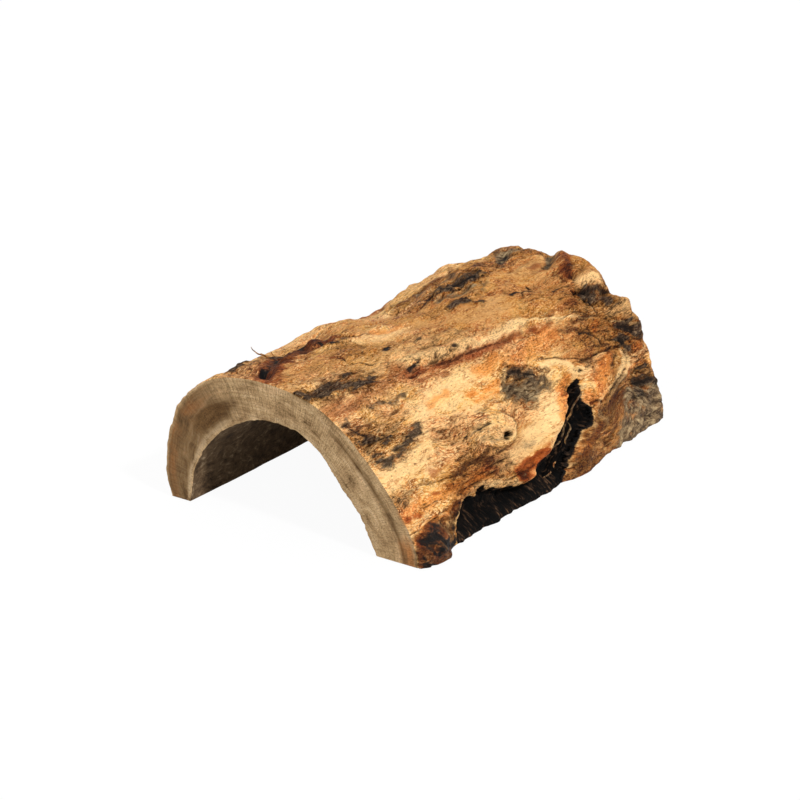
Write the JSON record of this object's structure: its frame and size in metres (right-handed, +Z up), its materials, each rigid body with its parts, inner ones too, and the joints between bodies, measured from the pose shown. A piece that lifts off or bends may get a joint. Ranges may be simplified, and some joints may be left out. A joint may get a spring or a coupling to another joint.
{
  "type": "log hideout",
  "caption": "Half of a hollow log, sawn square at both ends, that stands on its two long split edges as a tunnel for a small pet to hide in.",
  "frame": {"origin": "on the ground, under the middle of the log", "axes": "+Y along the log from the front saw cut to the back one, +Z up, +X towards the flank with the fissure"},
  "size_m": [0.1446, 0.212, 0.0741],
  "materials": {
    "sapwood": "weathered wood with grain, satin outside and sawn at the ends",
    "pale_knot": "smooth swirled knot wood",
    "dark_knot": "rough dark knot wood",
    "black_bark": "charred looking ingrown bark",
    "grey_bark": "dry grey bark"
  },
  "bodies": {
    "root": {"log_wall": "sapwood", "side_knot": "pale_knot", "toe_knot": "dark_knot", "seam_bark": "black_bark", "bark_front_shoulder": "grey_bark", "bark_front_flank": "grey_bark", "bark_burl": "grey_bark", "bark_crown_front": "grey_bark", "bark_crown_back": "grey_bark", "bark_back_shoulder": "grey_bark", "bark_back_flank": "grey_bark", "bark_back_foot": "grey_bark", "bark_left_front": "grey_bark"}
  },
  "joints": []
}
